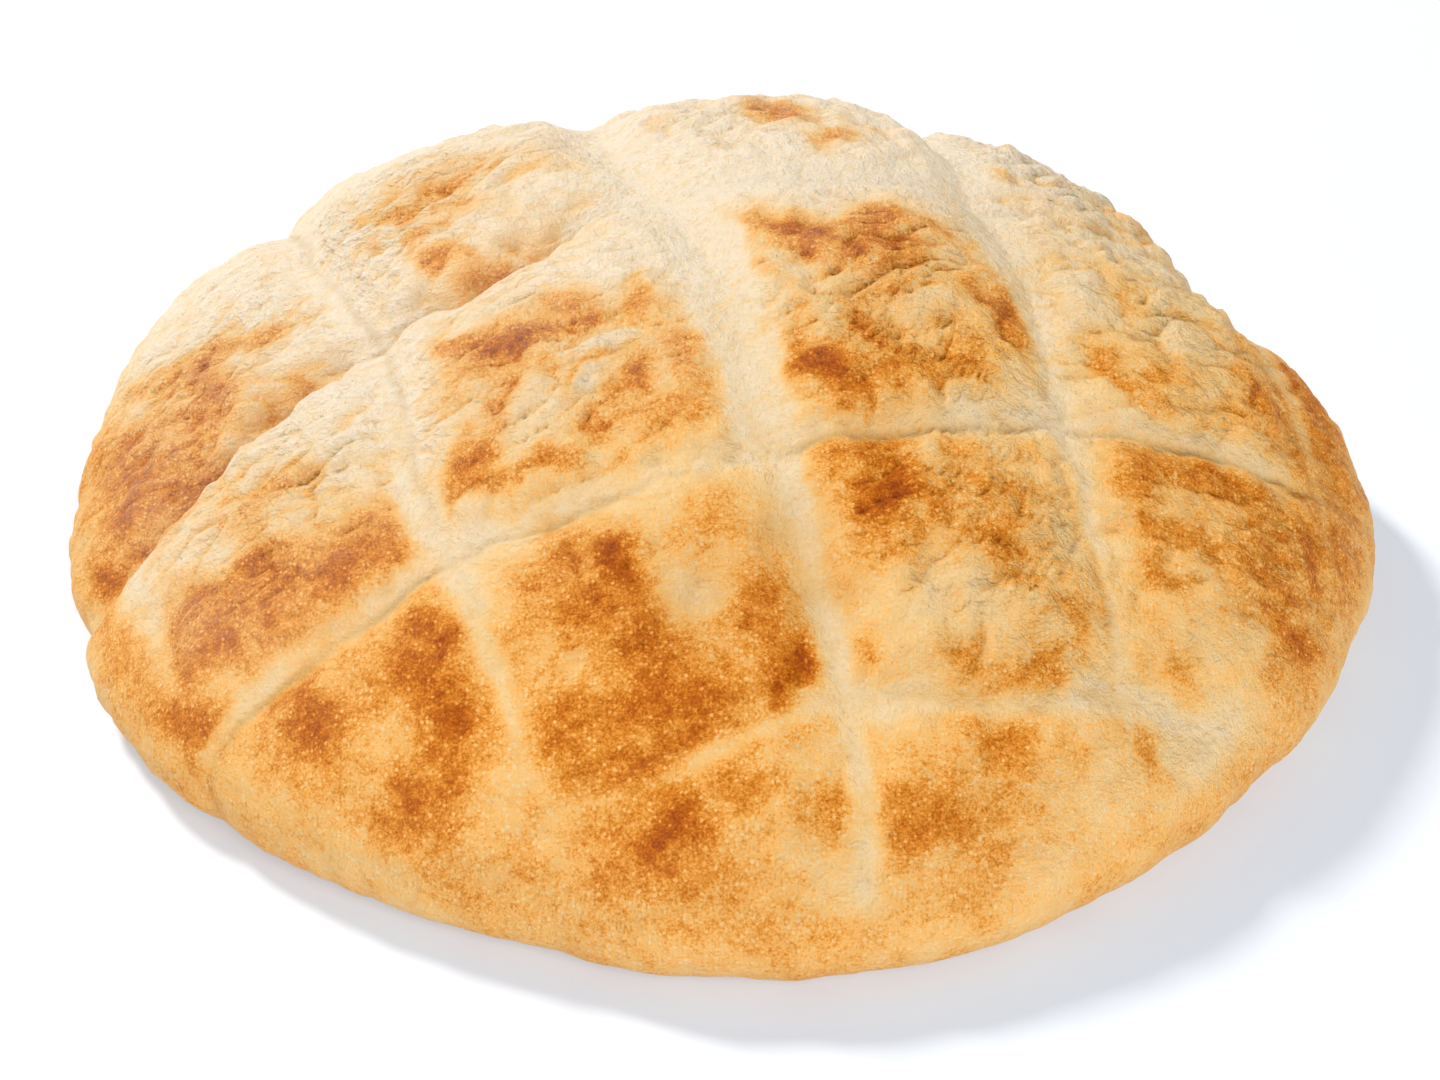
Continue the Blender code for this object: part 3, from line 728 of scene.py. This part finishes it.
def loaf_mesh():
    """One closed mesh: the crust's grid, the rolled rim, and the underside's coarser grid."""
    crust, values = build_crust()
    surface = Surface()
    ids = add_crust(surface, crust)
    ring, ids = add_tuck(surface, edge_ring(crust), ids)
    ring, ids = add_halved_rings(surface, ring, ids)
    add_base(surface, ring, ids)
    points = np.concatenate(surface.points)
    mesh = bpy.data.meshes.new("crust")
    mesh.from_pydata(points.tolist(), [], surface.faces)
    mesh.update()
    under = points[crust.shape[0] * crust.shape[1] :]
    under_values = {
        "toast": under_toast(under),
        "flour_and_glare": np.full(len(under), RIM_FLOUR),
        "line_gap": np.full(len(under), NO_LINE),
    }
    for name, top_values in values.items():
        attribute = mesh.attributes.new(name, "FLOAT", "POINT")
        whole = np.concatenate([top_values.ravel(), under_values.get(name, np.zeros(len(under)))])
        attribute.data.foreach_set("value", whole.astype(np.float32))
    mesh.shade_smooth()
    return mesh


class Nodes:
    """Short ways to add and link the nodes of one material or world."""

    def __init__(self, owner):
        owner.use_nodes = True
        self.tree = owner.node_tree
        self.tree.nodes.clear()

    def add(self, kind, inputs=(), **settings):
        """A node with its settings, each input linked to a socket or set to a value."""
        node = self.tree.nodes.new("ShaderNode" + kind)
        for name, value in settings.items():
            setattr(node, name, value)
        for key, value in dict(inputs).items():
            if isinstance(value, bpy.types.NodeSocket):
                self.tree.links.new(value, node.inputs[key])
            else:
                node.inputs[key].default_value = value
        return node

    def math(self, operation, a, b=0.0, c=0.0, clamp=False):
        node = self.add("Math", {0: a, 1: b, 2: c}, operation=operation, use_clamp=clamp)
        return node.outputs[0]

    def product(self, a, b):
        """One value times another."""
        return self.math("MULTIPLY", a, b)

    def linear(self, value, slope, start):
        """The start plus the slope times the value."""
        return self.math("MULTIPLY_ADD", value, slope, start)

    def centred_noise(self, place, size, detail=2.0, rough=0.5):
        """Noise about zero whose features are about as large as size, in metres."""
        inputs = {"Vector": place, "Scale": 1 / size, "Detail": detail, "Roughness": rough}
        return self.math("SUBTRACT", self.add("TexNoise", inputs).outputs["Fac"], 0.5)

    def ramp(self, value, stops):
        """Colour at a value, between the stops' colours."""
        node = self.add("ValToRGB", {"Fac": value})
        elements = node.color_ramp.elements
        while len(elements) < len(stops):
            elements.new(0.5)
        for element, (at, colour) in zip(elements, stops):
            element.position = at
            element.color = (*colour, 1)
        return node.outputs["Color"]

    def value(self, name):
        """A value kept at each point of the mesh."""
        return self.add("Attribute", attribute_name=name).outputs["Fac"]

    def mix(self, share, colour, other, blend="MIX"):
        """One colour mixed with another by a share; a Mix node keeps its colour sockets at 6, 7 and 2."""
        node = self.add("Mix", data_type="RGBA", blend_type=blend)
        self.tree.links.new(share, node.inputs[0])
        self.tree.links.new(colour, node.inputs[6])
        node.inputs[7].default_value = (*other, 1)
        return node.outputs[2]

    def between(self, value, low, high):
        """0 below low, 1 above high."""
        inputs = {"Value": value, "From Min": low, "From Max": high}
        return self.add("MapRange", inputs, interpolation_type="SMOOTHSTEP").outputs["Result"]


# Crust from pale dough to nearly burnt
CRUST_RAMP = (
    (0.00, (0.78, 0.665, 0.48)),
    (0.12, (0.81, 0.635, 0.40)),
    (0.25, (0.86, 0.575, 0.25)),
    (0.38, (0.90, 0.475, 0.13)),
    (0.52, (0.77, 0.295, 0.030)),
    (0.66, (0.565, 0.150, 0.004)),
    (0.80, (0.40, 0.078, 0.001)),
    (1.00, (0.22, 0.035, 0.002)),
)
# Whitish colour of the flour, also used for painted glare at the back left
FLOUR_AND_GLARE_COLOUR = (0.84, 0.72, 0.565)
SHADE_COLOUR = (0.45, 0.26, 0.08)  # of the sharp lines
# Multiplies the colour in hollows and scores: painted shade
HOLLOW_SHADE_TINT = (0.85, 0.81, 0.76)
# Multiplies the colour in the grain's small pits: painted shade, partly the browner dough there
PIT_SHADE_TINT = (0.98, 0.87, 0.68)

# Crust texture: the size of each kind of grain, and the sharp lines' width and shade
GRAIN_SIZE = 0.4 * MM
BLISTER_SIZE = 0.7 * MM
CRUMB_SIZE = 1.4 * MM
LUMP_SIZE = 2.2 * MM
CLOT_SIZE = 4.5 * MM
LINE_WIDTH = 0.8 * MM
LINE_SHADE = 0.45

# Height that each adds to the crust, in millimetres
GRAIN_HEIGHT = 0.3
BLISTER_HEIGHT = 0.06
CRUMB_HEIGHT = 0.85
LUMP_HEIGHT = 2.9
LINE_DEPTH = 0.3


def crust_colour(n, grain, crumb, lumps, line, blisters):
    """Colour of the crust: its browning, broken up by the grain, then flour with painted glare, painted
    shade in hollows, scores and pits, and the lines' shade.
    """
    place = n.add("TexCoord").outputs["Object"]
    browning = n.value("toast")
    swing = n.between(browning, 0.1, 0.5)
    cover = n.linear(n.value("pale"), -0.7, 1.0)
    clots = n.centred_noise(place, CLOT_SIZE, 5, 0.65)
    cell = n.add("SeparateColor", {"Color": blisters.outputs["Color"]}).outputs["Red"]
    speck = n.product(n.between(cell, 0.6, 0.9), n.between(blisters.outputs["Distance"], 0.6, 0.2))
    uneven = n.linear(grain, 0.9, n.product(speck, -0.22))
    tone = n.linear(uneven, n.linear(swing, 0.7, 0.15), browning)
    tone = n.linear(n.product(crumb, cover), n.linear(swing, 0.36, 0.12), tone)
    tone = n.linear(n.product(clots, cover), n.linear(swing, 0.2, 0.08), tone)
    # On browned crust the lumps' tops are browner; on pale crust their lows are browner, as painted warm
    # shade
    tone = n.linear(lumps, n.linear(swing, 0.7, -0.3), tone)
    colour = n.ramp(tone, CRUST_RAMP)
    # Flour and painted glare, less on browned crust and in the lumps' lows, where painted warm shade shows
    dust_and_glare = n.product(n.value("flour_and_glare"), n.linear(n.between(browning, 0.12, 0.4), -0.64, 0.8))
    dust_and_glare = n.math("MULTIPLY", dust_and_glare, n.linear(lumps, 2.5, 1.0), clamp=True)
    colour = n.mix(dust_and_glare, colour, FLOUR_AND_GLARE_COLOUR)
    # Painted shade in the hollows and scores
    colour = n.mix(n.value("hollow_shade"), colour, HOLLOW_SHADE_TINT, "MULTIPLY")
    # Painted shade in the small pits of the grain and crumb, partly the browner dough showing there
    pit_shade = n.between(n.linear(grain, 0.5, crumb), 0.05, -0.27)
    colour = n.mix(pit_shade, colour, PIT_SHADE_TINT, "MULTIPLY")
    return n.mix(n.product(line, LINE_SHADE), colour, SHADE_COLOUR)


def crust_height(n, grain, crumb, lumps, line, blisters):
    """Fine relief of the crust, in millimetres, rougher where it is browned."""
    swing = n.between(n.value("toast"), 0.1, 0.5)
    bulge = n.math("SUBTRACT", 0.5, n.between(blisters.outputs["Distance"], 0.1, 0.6))
    height = n.product(grain, n.linear(swing, 0.15, GRAIN_HEIGHT))
    height = n.linear(n.product(bulge, swing), BLISTER_HEIGHT, height)
    height = n.linear(crumb, n.linear(n.value("pale"), 0.15, CRUMB_HEIGHT), height)
    height = n.linear(lumps, LUMP_HEIGHT, height)
    return n.linear(line, -LINE_DEPTH, height)


def crust_material():
    material = bpy.data.materials.new("baked_crust")
    n = Nodes(material)
    place = n.add("TexCoord").outputs["Object"]
    grain = n.centred_noise(place, GRAIN_SIZE, 3, 0.7)
    crumb = n.centred_noise(place, CRUMB_SIZE, 3, 0.6)
    blisters = n.add("TexVoronoi", {"Vector": place, "Scale": 1 / BLISTER_SIZE}, feature="F1")
    along_wrinkles = {"Vector": place, "Rotation": (0, 0, -WRINKLE_TURN), "Scale": (0.55, 1.0, 1.0)}
    turned = n.add("Mapping", along_wrinkles).outputs["Vector"]
    lumps = n.product(n.centred_noise(turned, LUMP_SIZE, 4, 0.6), n.value("wrinkled"))
    near = n.math("DIVIDE", n.value("line_gap"), LINE_WIDTH)
    line = n.math("POWER", math.e, n.product(n.product(near, near), -1.0))
    line = n.product(line, n.math("MINIMUM", n.value("line_strength"), 1.0))
    texture = (grain, crumb, lumps, line, blisters)
    height = crust_height(n, *texture)
    bump = n.add("Bump", {"Strength": 1.0, "Distance": MM, "Height": height})
    shader = n.add(
        "BsdfPrincipled",
        {
            "Base Color": crust_colour(n, *texture),
            "Normal": bump.outputs["Normal"],
            "Roughness": 0.5,
            "Specular IOR Level": 0.1,
            "Subsurface Weight": 0.2,
            "Subsurface Radius": (1.0, 0.4, 0.12),
            "Subsurface Scale": 1.5 * MM,
        },
    )
    n.add("OutputMaterial", {"Surface": shader.outputs["BSDF"]})
    return material


def make_loaf():
    """The crust, in the CAD loaf's place. Gives how far it was moved to get there."""
    mesh = loaf_mesh()
    mesh.materials.append(crust_material())
    loaf = bpy.data.objects.new("crust", mesh)
    bpy.context.scene.collection.objects.link(loaf)
    places = np.zeros(len(mesh.vertices) * 3, np.float32)
    mesh.vertices.foreach_get("co", places)
    places = places.reshape(-1, 3)
    low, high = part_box("loaf")
    middle = (np.array(low) + np.array(high) - places.min(axis=0) - places.max(axis=0)) / 2
    mesh.transform(Matrix.Translation((middle[0], middle[1], 0)))
    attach(loaf, "root")
    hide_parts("loaf")
    return middle


# Camera, in front of the loaf and looking down at it
CAMERA_TILT = math.radians(35)
CAMERA_DISTANCE = 525 * MM
CAMERA_LENS = 79.4  # in millimetres, like the sensor
SENSOR_WIDTH = 36
AIM_RIGHT = 1.4 * MM
AIM_UP = 3.2 * MM


def make_camera(middle):
    back = Vector((0, -math.cos(CAMERA_TILT), math.sin(CAMERA_TILT)))
    up = Vector((0, math.sin(CAMERA_TILT), math.cos(CAMERA_TILT)))
    aim = Vector((middle[0] + AIM_RIGHT, middle[1], 0)) + up * AIM_UP
    data = bpy.data.cameras.new("camera")
    data.sensor_width = SENSOR_WIDTH
    data.lens = CAMERA_LENS
    camera = bpy.data.objects.new("camera", data)
    camera.location = aim + back * CAMERA_DISTANCE
    camera.rotation_euler = back.to_track_quat("Z", "Y").to_euler()
    bpy.context.scene.collection.objects.link(camera)
    bpy.context.scene.camera = camera


# Lights: name, place in metres, the disc's size and its power in watts
LIGHTS = (("key", (-0.88, 0.78, 1.22), 0.3, 25), ("fill", (0.5, -1.45, 0.8), 1.6, 22))

# Floor and walls
FLOOR_SIZE = 6
FLOOR_COLOUR = (0.62, 0.62, 0.62, 1)
FLOOR_GLOW = (0.22, 0.275, 0.345, 1)
GLOW_REACH = (0.6, 2.4)  # distances from the loaf between which the glow gets stronger
GLOW_GAIN = 1.6  # how much stronger
WALL_LIGHT = 0.95
CEILING_LIGHT = 0.37


def area_light(name, place, size, power):
    """A disc light at a place, turned to the origin."""
    data = bpy.data.lights.new(name, "AREA")
    data.shape = "DISK"
    data.size = size
    data.energy = power
    light = bpy.data.objects.new(name, data)
    light.location = place
    light.rotation_euler = Vector(place).to_track_quat("Z", "Y").to_euler()
    bpy.context.scene.collection.objects.link(light)


def floor_material():
    """A lit table: part of its white is its own, so the bread tints its own shadow less."""
    material = bpy.data.materials.new("paper_floor")
    n = Nodes(material)
    paper = n.add("BsdfDiffuse", {"Color": FLOOR_COLOUR})
    place = n.add("TexCoord").outputs["Object"]
    away = n.add("VectorMath", {0: place}, operation="LENGTH").outputs["Value"]
    strength = n.linear(n.between(away, *GLOW_REACH), GLOW_GAIN, 1.0)
    glow = n.add("Emission", {"Color": FLOOR_GLOW, "Strength": strength})
    both = n.add("AddShader", {0: paper.outputs["BSDF"], 1: glow.outputs["Emission"]})
    n.add("OutputMaterial", {"Surface": both.outputs["Shader"]})
    return material


def studio_world():
    """White walls low down, all round, and a dimmer ceiling."""
    world = bpy.data.worlds.new("studio")
    n = Nodes(world)
    heading = n.add("SeparateXYZ", {"Vector": n.add("TexCoord").outputs["Generated"]})
    ceiling = n.between(heading.outputs["Z"], 0.1, 0.2)
    strength = n.linear(ceiling, CEILING_LIGHT - WALL_LIGHT, WALL_LIGHT)
    walls = n.add("Background", {"Color": (1, 1, 1, 1), "Strength": strength})
    n.add("OutputWorld", {"Surface": walls.outputs["Background"]})
    return world


def make_studio():
    bpy.ops.mesh.primitive_plane_add(size=FLOOR_SIZE)
    floor = bpy.context.object
    floor.name = "floor"
    floor.data.materials.append(floor_material())
    bpy.context.scene.world = studio_world()
    for light in LIGHTS:
        area_light(*light)
    bpy.context.scene.view_settings.view_transform = "Standard"


middle = make_loaf()
make_camera(middle)
make_studio()
